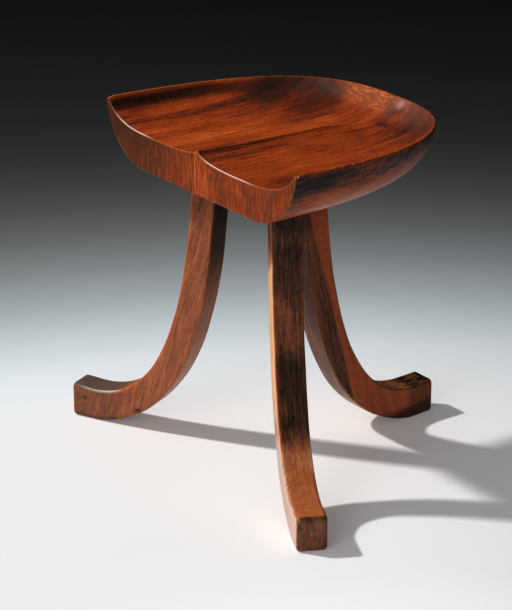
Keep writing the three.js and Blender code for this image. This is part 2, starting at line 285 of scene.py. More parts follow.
def hollow_height(x, y, inset):
    """Height of the seat's top: a wall that dies away exponentially into the floor, lifted by a
    ridge along x = 0 that is the sum of a narrow crest and broad flanks, with a bell-shaped dent
    and a left half that lies a little higher than the right."""
    along = (y - FRONT_Y) / SEAT_DEPTH
    depth = DISH_FRONT_DEPTH + (DISH_BACK_DEPTH - DISH_FRONT_DEPTH) * along
    sunk = 1 - np.exp(-np.maximum(inset - NOSE_WIDTH, 0) / WALL_RUN)
    rise = RIDGE_FRONT_HEIGHT + (RIDGE_BACK_HEIGHT - RIDGE_FRONT_HEIGHT) * along
    fade = 1 - smooth(RIDGE_FADE_START, RIDGE_FADE_END, y - FRONT_Y)
    away = np.sqrt(x * x + CREST_SOFTNESS ** 2) - CREST_SOFTNESS
    spread = np.where(x > 0, CREST_RIGHT_SPREAD, CREST_LEFT_SPREAD)
    crest = CREST_SHARE + CREST_RIGHT_GAIN * smooth(0, CREST_RIGHT_RUN, x)
    shape = crest * np.exp(-away / spread) + (1 - crest) * np.exp(-away / FLANK_SPREAD)
    lean = np.tanh(-x / SCOOP_LEAN_RUN)
    lift = np.where(lean > 0, LEFT_SCOOP_LIFT, RIGHT_SCOOP_DROP) * lean * sunk ** 2
    from_dent = np.hypot(x - DENT_X, y - DENT_Y) / DENT_RADIUS
    wave = hand_wave(x, y, HOLLOW_PHASE) * sunk - DENT_DEPTH * np.exp(-from_dent ** 2)
    return rim_height(y) - NOSE_DROP - sunk * (depth - NOSE_DROP - rise * fade * shape) + lift + wave


# Stations along the rim: one in the front face, one for each turn of the front edge's rounding,
# a few close ones, and then even steps
ROUNDING_TURNS = np.radians([90, 75, 60, 45, 30, 15, 0])
CLOSE_STATIONS = [1.6, 2.1, 2.7, 3.4, 4.2, 5.2, 6.4]
EVEN_START = 8.0
STATION_STEP = 1.35
FACE_STATION_PULL = 0.3
SQUARE_RIM = 3.0  # the rim's first stretch, where an offset goes straight across
NORMAL_STEP = 0.5
SPREAD_START = 20.0  # where the rows begin to spread evenly along the joint

# Rows round a board, and how they lie
FLOOR_ROWS = 92
WALL_ROWS = 26
NOSE_ROWS = 8
BOWL_ROWS = 44
UNDER_ROWS = 10
ROW_CROWDING = 1.5  # power that crowds the floor's rows at the joint and the wall's at the rim
WALL_WEAR_RUN = 9.0  # how far the rim's wear reaches down the wall
BOWL_WEAR_RUN = 7.0  # and down the bowl


def joint_edge(side):
    """Where a board's joint face lies, in mirrored x."""
    return side * JOINT_X + JOINT_GAP / 2


def board_stations(edge):
    """Distance along the rim, and how far the skin is pulled in there, for each station."""
    end = np.interp(-edge, -RIM_X, RIM_S)
    rounding = FRONT_ARRIS * (1 - np.sin(ROUNDING_TURNS))
    pulled = FRONT_ARRIS * (1 - np.cos(ROUNDING_TURNS))
    count = int((end - EVEN_START) / STATION_STEP)
    plain = np.concatenate([CLOSE_STATIONS, np.linspace(EVEN_START, end, count)])
    along = np.concatenate([[0], rounding, plain])
    inwards = np.concatenate([[FRONT_ARRIS + FACE_STATION_PULL], pulled, np.zeros(len(plain))])
    return along, inwards


def rim_frame(along):
    """The rim's places and its normals towards the inside, in plan, at distances along it."""
    x, y = np.interp(along, RIM_S, RIM_X), np.interp(along, RIM_S, RIM_Y)
    steps = (along - NORMAL_STEP, along + NORMAL_STEP)
    x_before, x_after = (np.interp(place, RIM_S, RIM_X) for place in steps)
    y_before, y_after = (np.interp(place, RIM_S, RIM_Y) for place in steps)
    normal = np.stack([-(y_after - y_before), x_after - x_before])
    normal /= np.hypot(*normal)
    normal[:, along < SQUARE_RIM] = np.array([[-1.0], [0.0]])
    return x, y, normal


def joint_places(y, along):
    """Where the points that go across from depths y meet the joint: straight across near the
    front, spread evenly towards the back, and never in front of the one before."""
    blend = smooth(SPREAD_START, along[-1], along)
    target = (1 - blend) * (y - FRONT_Y) + blend * (y[-1] - FRONT_Y) * along / along[-1]
    return FRONT_Y + np.maximum.accumulate(np.minimum(target, y[-1] - FRONT_Y))


def board_rows(side):
    """The skin of one board as rows of points, one for every station, in mirrored x: across the
    hollow from the joint, up its wall, over the rim, down the bowl and back under to the joint.
    Each point also gets its share of the rim's wear, and its inset: how far inside the rim it is,
    or minus how far below it."""
    edge = joint_edge(side)
    along, inwards = board_stations(edge)
    x, y, normal = rim_frame(along)
    rows, shares, insets = [], [], []

    def offset(inset):
        px, py = x + normal[0] * inset, y + normal[1] * inset
        px = np.maximum(px, edge)
        px[-1] = edge
        return px, py

    def add(px, py, pz, share, inset):
        rows.append(np.stack([px, py, pz], -1))
        shares.append(np.broadcast_to(share, px.shape))
        insets.append(np.broadcast_to(inset, px.shape))

    wall_width = 2 * WALL_RUN
    foot_x, foot_y = offset(wall_width)
    meet = joint_places(foot_y, along)
    for row in range(FLOOR_ROWS):
        t = (row / FLOOR_ROWS) ** ROW_CROWDING
        px, py = edge + (foot_x - edge) * t, meet + (foot_y - meet) * t
        inset = rim_distance(px, py)
        add(px, py, hollow_height(side * px, py, inset), 0, inset)
    for row in range(WALL_ROWS + 1):
        inset = NOSE_WIDTH + (wall_width - NOSE_WIDTH) * (1 - row / WALL_ROWS) ** ROW_CROWDING
        px, py = offset(inset)
        pz = hollow_height(side * px, py, np.full(px.shape, inset))
        add(px, py, pz, math.exp(-inset / WALL_WEAR_RUN), inset)
    for row in range(1, NOSE_ROWS + 1):
        turn = (math.pi / 2 - WALL_SLOPE) * (1 - row / NOSE_ROWS) + math.pi * row / NOSE_ROWS
        inset = RIM_ROUND * (1 + math.cos(turn))
        px, py = offset(inset)
        add(px, py, rim_height(py) - RIM_ROUND * (1 - math.sin(turn)), 1, inset)
    reach = BOWL_FRONT_TURN_IN + (BOWL_BACK_TURN_IN - BOWL_FRONT_TURN_IN) * (y - FRONT_Y) / SEAT_DEPTH
    top = rim_height(y) - RIM_ROUND
    for row in range(1, BOWL_ROWS + 1):
        turn = row / BOWL_ROWS * math.pi / 2
        px, py = offset(reach * (1 - math.cos(turn)) + BOWL_LEAN * math.sin(turn))
        pz = top - (top - UNDERSIDE) * math.sin(turn)
        wave = hand_wave(along * BOWL_WAVE_ALONG + BOWL_WAVE_START, pz * BOWL_WAVE_DOWN, BOWL_PHASE)
        wave = wave * math.sin(2 * turn)
        share = math.exp(-(top - pz).mean() / BOWL_WEAR_RUN)
        add(px + normal[0] * wave, py + normal[1] * wave, pz, share, pz - top)
    turned_x, turned_y = np.maximum(rows[-1][:, 0], edge), rows[-1][:, 1]
    meet = joint_places(turned_y, along)
    for row in range(1, UNDER_ROWS + 1):
        t = 1 - row / UNDER_ROWS
        px, py = edge + (turned_x - edge) * t, meet + (turned_y - meet) * t
        add(px, py, np.full(px.shape, UNDERSIDE), 0, -SEAT_THICKNESS)
    return np.array(rows), np.array(shares), np.array(insets), along, inwards


def wear_tip(rows, shares, along):
    """Takes the sharp point off the front corner: the rim sinks towards it, and what is near the
    rim sinks with it."""
    tip = np.exp(-(along / TIP_WEAR_RUN) ** 2)
    rows[:, :, 2] -= TIP_WEAR * tip[None] * shares


def nick_rim(rows, shares, along, side):
    """Small chips out of the rim: a bell-shaped dip of given width and depth at a place along it."""
    for place, width, depth in RIM_NICKS[side]:
        bell = np.exp(-((along - place) / width) ** 2)
        rows[:, :, 2] -= depth * bell[None] * shares ** 2


def round_front(rows, along, inwards):
    """Pulls the first stations in along the profile's own normal, which rounds the front edge.
    The normal is the profile's run turned a quarter, down into the wood on the hollow's floor."""
    profile = rows[:, 0][:, [0, 2]]
    run = np.gradient(profile, axis=0)
    normal = np.stack([-run[:, 1], run[:, 0]], -1)
    normal /= np.maximum(np.hypot(*normal.T)[:, None], TINY)
    if normal[FLOOR_ROWS // 2, 1] > 0:
        normal = -normal
    normal[0] = [0, -1]
    normal[-1] = [0, 1]
    shift = inwards[None, :, None] * normal[:, None, :]
    rows[:, :, 0] += shift[..., 0]
    rows[:, :, 2] += shift[..., 1]
    first = inwards > 0
    rows[:, first, 1] = FRONT_Y + along[first]


def seat_board(side, material):
    """One board, with its flat joint face and front face filled in."""
    rows, shares, insets, along, inwards = board_rows(side)
    wear_tip(rows, shares, along)
    nick_rim(rows, shares, along, side)
    round_front(rows, along, inwards)
    rows[0, :, 0] = rows[-1, :, 0] = rows[:, -1, 0] = joint_edge(side)
    # the front edge's line of wear and painted highlight
    line = np.exp(-((along - FRONT_WEAR_AND_GLINT_LINE) / FRONT_WEAR_AND_GLINT_LINE) ** 2)
    line[0] = 0
    worn = np.broadcast_to(line[None], shares.shape)
    count, columns = shares.shape
    points = rows.reshape(-1, 3)
    keep, number, triangles = welded(points, grid_triangles(count, columns))
    points = points[keep]
    layers = {"worn": worn.reshape(-1)[keep], "inset": insets.reshape(-1)[keep]}
    number = number.reshape(count, columns)
    joint = np.concatenate([number[0], number[1:-1, -1], number[-1, ::-1]])
    faces = [triangles]
    for loop in (number[:, 0], joint):
        loop = loop[np.concatenate([[True], loop[1:] != loop[:-1]])]
        if loop[0] == loop[-1]:
            loop = loop[:-1]
        faces.append(one_way(points, flat_fill(points, loop), triangles))
    points[:, 0] *= side
    layers["grain"] = points.copy()
    hand = "right" if side > 0 else "left"
    return make_piece("worn_seat_board_" + hand, points, np.concatenate(faces), layers,
                      "seat_board_" + hand, material)


# The legs' meshes

LEG_SECTIONS = 250
LEG_CURVE_POINTS = 400
LEG_SIDE_STEPS, LEG_CORNER_STEPS = 10, 5
TOE_TURNS = 6
TOE_RINGS = np.array([0.9, 0.7, 0.45, 0.2, 0.02])  # sizes of the rings that fill the toe's end
WAVE_START = (0.0, 12.0)  # the stretches along a leg where its waves begin and end
WAVE_END = (LEG_RUN - 20.0, LEG_RUN - 6.0)


def bezier(a, b, c, d, t):
    """A cubic Bezier curve at the shares t."""
    t = np.asarray(t)[:, None]
    a, b, c, d = (np.array(p, float) for p in (a, b, c, d))
    return a * (1 - t) ** 3 + 3 * b * t * (1 - t) ** 2 + 3 * c * t * t * (1 - t) + d * t ** 3


def evenly(curve, shares):
    """Points of a polyline at shares of its length."""
    step = np.hypot(*np.diff(curve, axis=0).T)
    length = np.concatenate([[0], np.cumsum(step)])
    return np.stack([np.interp(shares * length[-1], length, curve[:, k]) for k in (0, 1)], -1)


def leg_sides(shares, reach):
    """The outer and the inner side of the leg in its own plane, paired by share of length. Each
    is one curve, and the flat sole follows the inner one."""
    half = LEG_THICKNESS / 2
    heel = reach - SOLE_LENGTH
    t = np.linspace(0, 1, LEG_CURVE_POINTS)
    outer = bezier((half, UNDERSIDE), (half + OUTER_TOP_LEAN, UNDERSIDE - OUTER_TOP_PULL),
                   (reach - OUTER_TOE_PULL, TOE_HEIGHT + OUTER_TOE_RISE),
                   (reach, TOE_HEIGHT), t)
    inner = bezier((-half, UNDERSIDE), (INNER_TOP_LEAN - half, UNDERSIDE - INNER_TOP_PULL),
                   (heel - INNER_SOLE_PULL, INNER_SOLE_RISE), (heel, 0), t)
    inner = np.concatenate([inner, [[reach, 0]]])
    return evenly(outer, shares), evenly(inner, shares)


def leg_ring(thick, wide, arris):
    """A rounded rectangle for each section: half sizes thick and wide, corner radius arris.
    Points run round it; returned as (across thickness, across width), each sections x points."""
    turn = np.radians(np.linspace(0, 90, LEG_CORNER_STEPS + 1))
    straight = np.linspace(-1, 1, LEG_SIDE_STEPS + 1)[1:-1]
    t, w = [], []
    for quarter, (sign_t, sign_w) in enumerate([(1, 1), (-1, 1), (-1, -1), (1, -1)]):
        c, s = np.cos(turn + quarter * math.pi / 2), np.sin(turn + quarter * math.pi / 2)
        t.append(sign_t * (thick - arris)[:, None] + arris[:, None] * c[None])
        w.append(sign_w * (wide - arris)[:, None] + arris[:, None] * s[None])
        if quarter % 2 == 0:
            t.append(-sign_t * (thick - arris)[:, None] * straight[None])
            w.append(np.broadcast_to(sign_w * wide[:, None], t[-1].shape))
        else:
            w.append(-sign_w * (wide - arris)[:, None] * straight[None])
            t.append(np.broadcast_to(sign_t * thick[:, None], w[-1].shape))
    return np.concatenate(t, 1), np.concatenate(w, 1)


def leg_mesh(phase, reach):
    """A leg in its own plane: sections between its outer and inner sides, a rounded toe filled
    with shrinking rings, and at the top a shoulder and a tenon slotted for its wedge. Returns
    points, triangles and layers."""
    end = 1 - TOE_EDGE / LEG_RUN
    turns = np.radians(np.linspace(0, 90, TOE_TURNS + 1))[1:]
    shares = np.concatenate([np.linspace(0, end, LEG_SECTIONS), end + (1 - end) * np.sin(turns)])
    body = len(shares)
    shares = np.concatenate([shares, np.full(len(TOE_RINGS), shares[-1])])
    outer, inner = leg_sides(shares, reach)
    centre, across = (outer + inner) / 2, (outer - inner) / 2
    half = np.hypot(*across.T)
    axis = across / half[:, None]
    pull = np.zeros(len(shares))
    pull[LEG_SECTIONS:body] = TOE_EDGE * (1 - np.cos(turns))
    thick, wide = half - pull, LEG_WIDTH / 2 - pull
    arris = LEG_ARRIS + (TOE_ARRIS - LEG_ARRIS) * smooth(TOE_ARRIS_START, 1, shares)
    for size in (thick, wide, arris):
        size[body:] = size[body - 1] * TOE_RINGS
    arris = np.minimum(arris, ARRIS_LIMIT * np.minimum(thick, wide))
    t, w = leg_ring(thick, wide, arris)
    along = shares * LEG_RUN
    swell = sum(high * np.sin(along / run + times * phase) for run, times, high in LEG_WAVES)
    swell = swell * smooth(*WAVE_START, along) * (1 - smooth(*WAVE_END, along))
    t = t * (1 + swell / thick)[:, None]
    w = w * (1 + LEG_WAVE_WIDTH_SHARE * np.roll(swell, LEG_WAVE_LAG) / wide)[:, None]
    points = np.stack([centre[:, :1] + axis[:, :1] * t, w, centre[:, 1:] + axis[:, 1:] * t], -1)
    points[0, :, 2] = UNDERSIDE - SHOULDER_GAP
    from_face = np.minimum(np.abs(np.abs(t) - thick[:, None]), EDGE_WEAR_AND_GLINT_REACH)
    from_side = np.minimum(np.abs(np.abs(w) - wide[:, None]), EDGE_WEAR_AND_GLINT_REACH)
    # the mask of the edges, for their wear and their painted glints
    worn = np.exp(-(from_face + from_side) / EDGE_WEAR_AND_GLINT_RUN)
    worn[body:] = 0
    widest = np.abs(t).max(1)
    widest[body:] = widest[body - 1]
    depth = t / widest[:, None] * LEG_THICKNESS / 2
    path = np.stack([w, np.broadcast_to(along[:, None], t.shape), depth], -1)
    sections, around = t.shape
    faces = grid_triangles(sections, around, wrap=True)
    layers = {"worn": worn.reshape(-1), "path": path.reshape(-1, 3)}
    points, faces, layers = close_toe(points.reshape(-1, 3), faces, layers, around)
    return add_tenon(points, faces, layers, around)


def close_toe(points, faces, layers, around):
    """One point in the middle of the toe's end, with a fan to the last section."""
    middle = len(points)
    ring = np.arange(middle - around, middle)
    points = np.concatenate([points, points[ring].mean(0, keepdims=True)])
    layers = {k: np.concatenate([v, v[ring].mean(0, keepdims=True)]) for k, v in layers.items()}
    fan = np.stack([ring, np.roll(ring, -1), np.full(around, middle)], -1)
    return points, np.concatenate([faces, fan]), layers


# Triangles of one side of a tenon: its foot and the prongs on either side of the slot
TENON_SIDE = np.array([[0, 1, 2], [0, 2, 3], [0, 3, 4], [0, 4, 7], [4, 5, 6], [4, 6, 7]])


def add_tenon(points, faces, layers, around):
    """The shoulder and a square tenon above it, parted by a tapered slot for the wedge."""
    thick = LEG_THICKNESS / 2 - TENON_SHOULDER
    wide = LEG_WIDTH / 2 - TENON_SHOULDER
    base = points[0, 2]
    top = UNDERSIDE + MORTISE_DEPTH - FIT
    foot = top - WEDGE_LENGTH - FIT
    slot_top, slot_foot = WEDGE_THICK_END / 2 + FIT, WEDGE_THIN_END / 2 + FIT
    outline = [(thick, base), (thick, top), (slot_top, top), (slot_foot, foot),
               (-slot_foot, foot), (-slot_top, top), (-thick, top), (-thick, base)]
    count = len(outline)
    start = len(points)
    extra = np.array([(u, w, z) for w in (-wide, wide) for u, z in outline])
    points = np.concatenate([points, extra])
    layers = {k: np.concatenate([v, np.zeros((len(extra),) + v.shape[1:])]) for k, v in layers.items()}
    layers["path"][start:] = extra[:, [1, 2, 0]] * [1, -1, 1] + [0, UNDERSIDE, 0]
    low, high = start + np.arange(count), start + count + np.arange(count)
    step = np.arange(count - 1)
    walls = np.concatenate([np.stack([low[step], low[step + 1], high[step + 1]], -1),
                            np.stack([low[step], high[step + 1], high[step]], -1)])
    sides = np.concatenate([start + TENON_SIDE[:, ::-1], start + count + TENON_SIDE])
    corners = np.array([[low[-1], high[-1]], [low[0], high[0]]])
    ring = np.arange(around)
    outer, right = (points[ring, :2] >= 0).astype(int).T
    near = corners[outer, right]
    after = np.roll(ring, -1)
    shoulder = np.stack([ring, near, after], -1)
    bridge = np.stack([after, near, near[after]], -1)[near != near[after]]
    shoulder = one_way(points, np.concatenate([shoulder, bridge]), faces)
    walls = one_way(points, walls, shoulder)
    sides = one_way(points, sides, walls)
    return points, np.concatenate([faces, shoulder, walls, sides]), layers


def swept_leg(name, phase, material):
    """A leg turned and moved to its place under the seat."""
    angle, out, reach = LEG_PLACES[name]
    points, triangles, layers = leg_mesh(phase, reach)
    layers["grain"] = points[:, [1, 2, 0]]
    c, s = math.cos(math.radians(angle)), math.sin(math.radians(angle))
    x, y = points[:, 0] + out, points[:, 1]
    points = np.stack([x * c - y * s, x * s + y * c + HUB_Y, points[:, 2]], -1)
    keep, _, triangles = welded(points, triangles)
    layers = {k: v[keep] for k, v in layers.items()}
    return make_piece("waxed_leg_" + name, points[keep], triangles, layers,
                      "leg_" + name, material)


# Node materials

BUMP_STRENGTH = 0.3


class Number:
    """A number socket with arithmetic: each operator adds one Math node to the recipe."""

    def __init__(self, recipe, socket):
        self.recipe, self.socket = recipe, socket

    def __add__(self, other):
        return self.recipe.math("ADD", self, other)

    def __sub__(self, other):
        return self.recipe.math("SUBTRACT", self, other)

    def __rsub__(self, other):
        return self.recipe.math("SUBTRACT", other, self)

    def __mul__(self, other):
        return self.recipe.math("MULTIPLY", self, other)

    def __truediv__(self, other):
        return self.recipe.math("DIVIDE", self, other)

    def __rtruediv__(self, other):
        return self.recipe.math("DIVIDE", other, self)

    def __pow__(self, other):
        return self.recipe.math("POWER", self, other)

    def __neg__(self):
        return self * -1.0

    __radd__ = __add__
    __rmul__ = __mul__

    def clamp(self):
        """The number kept between 0 and 1."""
        return self.recipe.math("ADD", self, 0.0, clamp=True)

    def ramp(self, low, high):
        """0 below low, 1 above high, smooth between."""
        node = self.recipe.node(
            "ShaderNodeMapRange", {"interpolation_type": "SMOOTHSTEP"},
            {"Value": self, "From Min": low, "From Max": high, "To Min": 0.0, "To Max": 1.0})
        return Number(self.recipe, node.outputs[0])

    def fade(self, low, high):
        """1 below low, 0 above high, smooth between."""
        return 1.0 - self.ramp(low, high)


class Recipe:
    """A node material being put together."""

    def __init__(self, name):
        self.material = bpy.data.materials.new(name)
        self.material.use_nodes = True
        self.tree = self.material.node_tree
        self.tree.nodes.clear()

    def node(self, kind, settings=None, values=None):
        """Adds a node: its settings first, then the values or links of its sockets."""
        made = self.tree.nodes.new(kind)
        for key, value in (settings or {}).items():
            if key == "stops":
                self.set_stops(made.color_ramp, value)
            else:
                setattr(made, key, value)
        for key, value in (values or {}).items():
            if isinstance(value, Number):
                value = value.socket
            if isinstance(value, bpy.types.NodeSocket):
                self.tree.links.new(value, made.inputs[key])
            else:
                made.inputs[key].default_value = value
        return made

    def set_stops(self, ramp, stops):
        """Gives a colour ramp its stops, each a place and a colour."""
        while len(ramp.elements) < len(stops):
            ramp.elements.new(1.0)
        for element, (place, colour) in zip(ramp.elements, stops):
            element.position = place
            element.color = linear(colour)

    def math(self, operation, a, b, clamp=False):
        """One Math node on two numbers or Numbers."""
        settings = {"operation": operation, "use_clamp": clamp}
        return Number(self, self.node("ShaderNodeMath", settings, {0: a, 1: b}).outputs[0])

    def attribute(self, name):
        """A layer of the mesh that holds vectors."""
        return self.node("ShaderNodeAttribute", {"attribute_name": name}).outputs["Vector"]

    def attribute_number(self, name):
        """A layer of the mesh that holds numbers."""
        return Number(self, self.node("ShaderNodeAttribute", {"attribute_name": name}).outputs["Fac"])

    def place_mm(self):
        """Object coordinates in millimetres."""
        place = self.node("ShaderNodeTexCoord").outputs["Object"]
        return self.scale(place, (1 / MM, 1 / MM, 1 / MM))

    def scale(self, vector, by):
        """A vector or colour times a vector or number."""
        return self.node("ShaderNodeVectorMath", {"operation": "MULTIPLY"}, {0: vector, 1: by}).outputs[0]

    def parts(self, vector):
        """The three Numbers of a vector."""
        made = self.node("ShaderNodeSeparateXYZ", {}, {0: vector})
        return [Number(self, made.outputs[k]) for k in range(3)]

    def joined(self, x, y, z):
        """The vector of three Numbers."""
        return self.node("ShaderNodeCombineXYZ", {}, {0: x, 1: y, 2: z}).outputs[0]

    def patches(self, vector, size, detail=2.0, roughness=0.5):
        """Noise over a vector, with a typical size along each of its coordinates."""
        vector = self.scale(vector, [1 / length for length in size])
        made = self.node("ShaderNodeTexNoise", {}, {
            "Vector": vector, "Scale": 1.0, "Detail": detail, "Roughness": roughness})
        return Number(self, made.outputs[0])

    def mix(self, factor, a, b, kind="MIX"):
        """Two colours, written or linked, mixed by a factor."""
        settings = {"data_type": "RGBA", "blend_type": kind}
        return self.node("ShaderNodeMix", settings, {0: factor, 6: linear(a), 7: linear(b)}).outputs[2]

    def tone_of(self, value, stops):
        """The colour that a number picks from the stops of a ramp."""
        return self.node("ShaderNodeValToRGB", {"stops": stops}, {0: value}).outputs[0]

    def band(self, value, low, high, soft):
        """1 between low and high, with soft sides."""
        return value.ramp(low - soft, low + soft) * value.fade(high - soft, high + soft)

    def spot(self, x, y, cx, cy, rx, ry):
        """A soft round patch: 1 / (1 + d^4), where d is the distance in its own half widths."""
        across, along = (x - cx) / rx, (y - cy) / ry
        squared = across * across + along * along
        return 1.0 / (1.0 + squared * squared)

    def bump(self, height, distance):
        """The normal of a surface with this relief, in metres."""
        values = {"Strength": BUMP_STRENGTH, "Distance": distance, "Height": height}
        return self.node("ShaderNodeBump", {}, values).outputs[0]

    def surface(self, values):
        """The finished material: one shader with these sockets."""
        shader = self.node("ShaderNodeBsdfPrincipled", {}, values)
        self.node("ShaderNodeOutputMaterial", {}, {0: shader.outputs[0]})
        return self.material


def grey(amount):
    """A grey of that linear amount, as a ramp takes it."""
    return [amount, amount, amount, 1.0]


def linear(colour):
    """A written colour such as 7a3216 as linear red, green, blue and alpha. Others pass through."""
    if not isinstance(colour, str):
        return colour
    channels = [int(colour[k:k + 2], 16) / 255 for k in (0, 2, 4)]
    return [c / 12.92 if c <= 0.04045 else ((c + 0.055) / 1.055) ** 2.4 for c in channels] + [1.0]


SEAT_TONES = [(0.0, "241a14"), (0.15, "503325"), (0.3, "783b22"),
              (0.5, "b45526"), (0.7, "cf6c2c"), (1.0, "eb9a4e")]
LEG_TONES = [(0.0, "211813"), (0.25, "644531"), (0.5, "b27050"), (0.75, "d79460"), (1.0, "ecbf90")]
SEAT_GLOSS, LEG_GLOSS = 0.45, 0.3
WAX_ROUGHNESS = 0.22
GRAIN_RELIEF, PALE_WOOD_RELIEF = 0.0004, 0.0002  # metres
FIGURE = {1: 0.62, -1: 0.85}  # how strong the figure is in the right and the left board
# how pale the painted highlight along each board's rim is
RIM_HIGHLIGHT_PALENESS = {1: 0.25, -1: 0.45}
LEG_FIGURE = {"front_left": 0.55, "front_right": 1.0, "back": 1.0}
LEG_SLANT = 0.275  # how far the fibres lean outwards on their way down a leg
LEG_GRAIN_DEPTH = 0.2
LEG_GRAIN_STEP = 60.0  # keeps one leg's grain from repeating another's


class Wood(Recipe):
    """Waxed hardwood with its fibres along the second coordinate of the piece's grain layer."""

    def __init__(self, name, tones, slant=0.0, start=0.0, deep=1.0):
        super().__init__(name)
        self.tones = tones
        self.x, self.y, self.z = self.parts(self.attribute("grain"))
        self.grain = self.joined(self.x + start, self.y, self.z + self.y * slant + start)
        bend = self.patches(self.grain, (70, 230, 70)) - 0.5
        across, along, down = self.parts(self.grain)
        self.bent = self.joined(across + bend * 12.0, along, down + bend * 8.0)
        self.streak = self.fibres((4.5, 170, 26 * deep), 3.0)
        self.fine = self.fibres((1.3, 40, 16 * deep), 3.0)
        self.mottle = self.fibres((2.2, 6, 2.2))
        self.blotch = self.fibres((16, 60, 30))
        self.pore = self.fibres((0.8, 7, 4 * deep), 1.0).ramp(0.56, 0.7)

    def fibres(self, size, detail=2.0):
        """Noise drawn out along the slightly bent fibres."""
        return self.patches(self.bent, size, detail, 0.55)

    def finish(self, shade, edges, rough, coat, gloss):
        """The shade through the wood's tones, the worn edges over it, and the waxed shader."""
        colour = self.tone_of(shade - self.pore * 0.1, self.tones)
        for mask, tone in edges:
            colour = self.mix(mask.clamp(), colour, tone)
        relief = self.fine * 0.3 + self.streak * 0.3 - self.pore * 0.5
        return self.surface({
            "Base Color": colour, "Roughness": rough, "Normal": self.bump(relief, GRAIN_RELIEF),
            "Coat Weight": coat, "Coat Roughness": WAX_ROUGHNESS, "Specular IOR Level": gloss})


def left_top(w, x, y, inset):
    """The top of the left board: a black strip along the rim, painted shade where the rim's own
    shadow falls, with a pale line outside it, a painted highlight on the lit rim; a dark line that
    widens to a smudge at the back, and lighter orange between them and the joint."""
    # painted shade: a black strip down the left wall, where the rim's own shadow falls
    strip = w.band(inset, 4, 15, 4) * (1.0 - y.ramp(-60, 40) * 0.7)
    top = strip * ((w.blotch - 0.5) * 0.5 + (w.mottle - 0.5) * 0.9 + 0.32) * -1.0
    # painted highlight: a pale line along the lit rim
    top = top + w.band(inset, 0.5, 5.0, 1.5) * y.fade(-10, 60) * 0.32
    top = top - w.spot(x, y, -78, 54, 18, 20) * 0.2 - w.spot(x, y, -82, 96, 14, 9) * 0.1
    top = top - w.band(x, -139, -129, 4) * y.fade(-20, 50) * 0.18
    smudge = w.spot(x, y, -126, 46, 17, 38) * 0.4 + w.spot(x, y, -92, 84, 34, 16) * 0.24
    top = top - smudge * ((w.streak - 0.5) * 1.6 + (w.fine - 0.5) * 1.4 + 0.8)
    top = top + w.band(x, -152, -140, 4) * w.band(y, -110, -5, 20) * 0.1
    top = top + w.band(x, -118, -96, 6) * y.fade(-125, -60) * 0.07
    top = top + w.band(x, -78, -44, 8) * y.fade(-60, 30) * 0.17
    return top + w.band(x, -44, -7, 9) * w.band(y, -70, 70, 30) * 0.12


def right_top(w, x, y, inset):
    """The top of the right board: even, but for soft dark bands beside the crest, the nearer one
    painted shade of the crest's steep right flank as well as a dark stain, a paler middle, a darker
    back, a dark patch by the front corner and a knot."""
    # painted shade with a dark stain just right of the crest, then a darker band of figure further out
    top = w.band(x, 0.8, 7, 2.0) * y.fade(-80, 30) * -0.12 - w.band(x, 12, 22, 4) * y.fade(-90, 0) * 0.08
    top = top - x.ramp(10, 60) * y.ramp(40, 90) * 0.17 + w.spot(x, y, 70, -60, 50, 70) * 0.09
    top = top - w.spot(x, y, 8, 112, 16, 10) * 0.08 - w.spot(x, y, 112, -112, 22, 18) * 0.16
    top = top - w.band(inset, 3, 30, 12) * y.ramp(60, 95) * 0.05 - 0.02
    knot = w.spot(x, y, 26, 86, 9, 4.5)
    return top - knot * 0.2


def front_face(w, x, z):
    """The end grain of the front: dark under the left corner, a light strip right of the joint
    with a bright line at the joint itself, and two short slanting cracks."""
    lines = w.patches(w.grain, (0.9, 40, 24))
    saw = w.patches(w.grain, (7, 40, 0.8), 1.0)
    face = (lines - 0.5) * (1.35 - x.ramp(-110, -40) * 0.4) + (w.fine - 0.5) * 0.3
    face = face + (saw - 0.5) * 0.22 * z.fade(350, 378) - 0.12
    face = face - x.fade(-120, -30) * 0.24 + x.ramp(-40, 40) * 0.03
    face = face - w.spot(x, z, -152, 388, 28, 24) * 0.26 - w.spot(x, z, -100, 372, 50, 10) * 0.12
    face = face + w.band(x, JOINT_X, 21, 2.0) * 0.16
    face = face + w.band(x, JOINT_X - 0.7, JOINT_X + 0.8, 0.4) * 0.4
    cracks = w.band(z + x * 0.33, 378.2, 379.2, 0.4) * w.band(x, 5, 14, 1)
    cracks = cracks + w.band(z + x * 0.2, 372.6, 373.6, 0.4) * w.band(x, 16, 34, 2)
    return face - cracks * 0.3


def bowl_side(w, y, depth):
    """The outside: stains, flecks and dashes that are strongest below the rim, and darker towards
    the rim: near black at the front corner, and a dark band below the rim elsewhere."""
    stain = w.patches(w.grain, (9, 30, 4), 4.0, 0.65)
    speck = w.patches(w.grain, (1.5, 4.5, 1.0)).ramp(0.55, 0.66)
    dash = w.patches(w.grain, (3, 14, 1.3))
    high = depth.fade(10, 36)
    front = y.fade(-112, -80)
    dark = w.band(depth, 2.5, 21, 5) * front * ((stain - 0.5) * -0.8 + 0.32)
    dark = dark + w.band(depth, 1.5, 15, 5) * (1.0 - front) * 0.13
    dark = dark + w.spot(y, depth, -140, 22, 12, 14) * 0.16 - w.spot(y, depth, -50, 9, 22, 8) * 0.14
    dark = dark + y.ramp(40, 100) * depth.fade(6, 26) * 0.3
    fleck = speck * (high * 0.14 + 0.06) - (dash - 0.5) * 0.4
    return (stain - 0.5) * high * 1.3 - high * 0.14 - dark - fleck - 0.02


